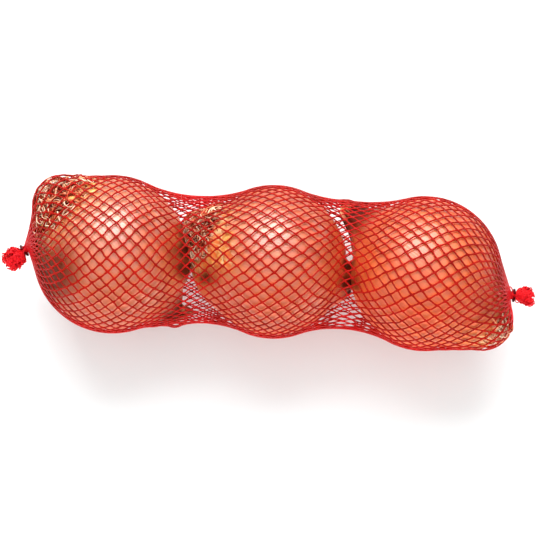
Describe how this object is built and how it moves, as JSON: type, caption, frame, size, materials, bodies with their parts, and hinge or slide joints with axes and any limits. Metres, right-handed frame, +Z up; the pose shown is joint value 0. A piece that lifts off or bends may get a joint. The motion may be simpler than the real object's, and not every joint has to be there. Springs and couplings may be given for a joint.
{
  "type": "net of onions",
  "caption": "Brown onions in a tubular red plastic net, gathered by a wire clip and cut off in a tuft at each end.",
  "frame": {"origin": "on the ground plane, at the middle of the bag's box on plan", "axes": "+Z up, +X along the bag from the left tuft to the right one"},
  "size_m": [0.268, 0.0792, 0.0785],
  "materials": {
    "netting": "extruded polyethylene strands, slightly glossy red",
    "clip_wire": "drawn steel wire, darkened, satin",
    "onion_skin": "dry papery onion skin with fine veins, a satin sheen on the shoulders",
    "onion_inner_skin": "golden under-skin where the outer skin has flaked off",
    "onion_roots": "dry curly roots, matt",
    "onion_neck": "withered neck, papery and matt"
  },
  "bodies": {
    "root": {"net": "netting", "clip_left": "clip_wire", "clip_right": "clip_wire"}
  },
  "joints": []
}
